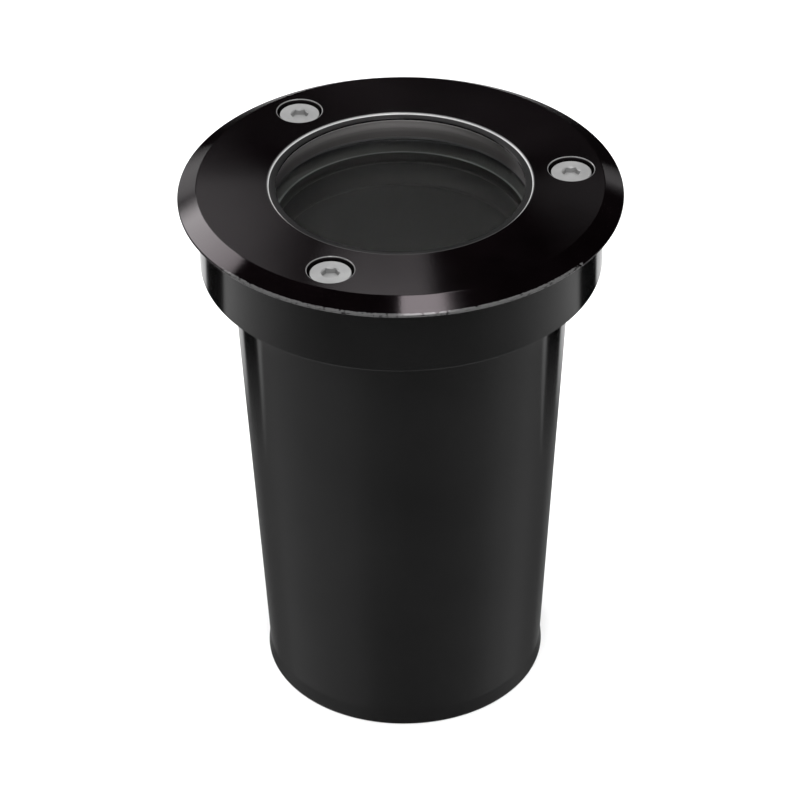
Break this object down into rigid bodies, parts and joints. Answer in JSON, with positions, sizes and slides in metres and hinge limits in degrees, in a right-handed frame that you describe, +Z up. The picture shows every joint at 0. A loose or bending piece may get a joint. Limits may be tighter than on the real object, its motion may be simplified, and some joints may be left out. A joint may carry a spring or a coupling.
{
  "type": "in-ground well light",
  "caption": "Round in-ground well light: a flat screwed cover ring over thick glass, a sealed lamp body and a tapered ground sleeve that it lifts out of.",
  "frame": {"origin": "centre of the base cap's underside, on the surface that the light stands on", "axes": "+Z up through the window, the way the light shines; +X to the right, the side of the first cover screw, and +Y away from the front"},
  "size_m": [0.11, 0.11, 0.144],
  "materials": {
    "sleeve_plastic": "satin black moulded plastic",
    "cover_paint": "satin black baked paint on metal",
    "body_paint": "black powder coat on die-cast aluminium",
    "stainless": "turned stainless steel",
    "zinc_steel": "bright zinc plate",
    "thick_glass": "clear toughened glass, satin underside",
    "silicone": "dark grey silicone",
    "gland_plastic": "black moulded nylon",
    "ceramic_white": "unglazed steatite",
    "contact_brass": "bare brass",
    "lamp_white": "white lamp housing",
    "lamp_glass": "prismatic lamp lens",
    "terminal_plastic": "natural nylon",
    "lead_brown": "brown silicone sleeving",
    "lead_blue": "blue silicone sleeving"
  },
  "bodies": {
    "ground_sleeve": {"mounting_sleeve": "sleeve_plastic", "base_cap": "sleeve_plastic"},
    "fixture": {"lamp_body": "body_paint", "glass_lens": "thick_glass", "glass_gasket": "silicone", "gland_body": "gland_plastic", "gland_washer": "silicone", "gland_locknut": "gland_plastic", "gland_seal": "silicone", "holder_body": "ceramic_white", "holder_contacts": "contact_brass", "holder_screws": "zinc_steel", "holder_bracket": "zinc_steel", "bracket_screws": "zinc_steel", "terminal_block": "terminal_plastic", "terminal_barrels": "contact_brass", "terminal_screws": "zinc_steel", "terminal_fixing_screw": "zinc_steel", "live_lead": "lead_brown", "neutral_lead": "lead_blue", "earth_washer": "zinc_steel", "earth_screw": "zinc_steel"},
    "cover": {"cover_ring": "cover_paint"},
    "screw_1": {"cover_screw_1": "stainless"},
    "screw_2": {"cover_screw_2": "stainless"},
    "screw_3": {"cover_screw_3": "stainless"},
    "lamp": {"lamp_shell": "lamp_white", "lamp_lens": "lamp_glass", "lamp_base": "lamp_white", "lamp_pins": "zinc_steel"},
    "gland_nut": {"gland_nut": "gland_plastic"}
  },
  "joints": [
    {"name": "fixture_lift", "type": "slide", "parent": "ground_sleeve", "child": "fixture", "axis": [0, 0, 1], "range_m": [0, 0.14]},
    {"name": "cover_lift", "type": "slide", "parent": "fixture", "child": "cover", "axis": [0, 0, 1], "range_m": [0, 0.04]},
    {"name": "screw_1_out", "type": "slide", "parent": "cover", "child": "screw_1", "axis": [0, 0, 1], "range_m": [0, 0.012]},
    {"name": "screw_2_out", "type": "slide", "parent": "cover", "child": "screw_2", "axis": [0, 0, 1], "range_m": [0, 0.012]},
    {"name": "screw_3_out", "type": "slide", "parent": "cover", "child": "screw_3", "axis": [0, 0, 1], "range_m": [0, 0.012]},
    {"name": "lamp_twist", "type": "hinge", "parent": "fixture", "child": "lamp", "pos_m": [0, 0, 0.0686], "axis": [0, 0, 1], "range_deg": [0, 25]},
    {"name": "gland_nut_turn", "type": "hinge", "parent": "fixture", "child": "gland_nut", "pos_m": [0, 0, 0.013], "axis": [0, 0, 1], "continuous": true}
  ]
}
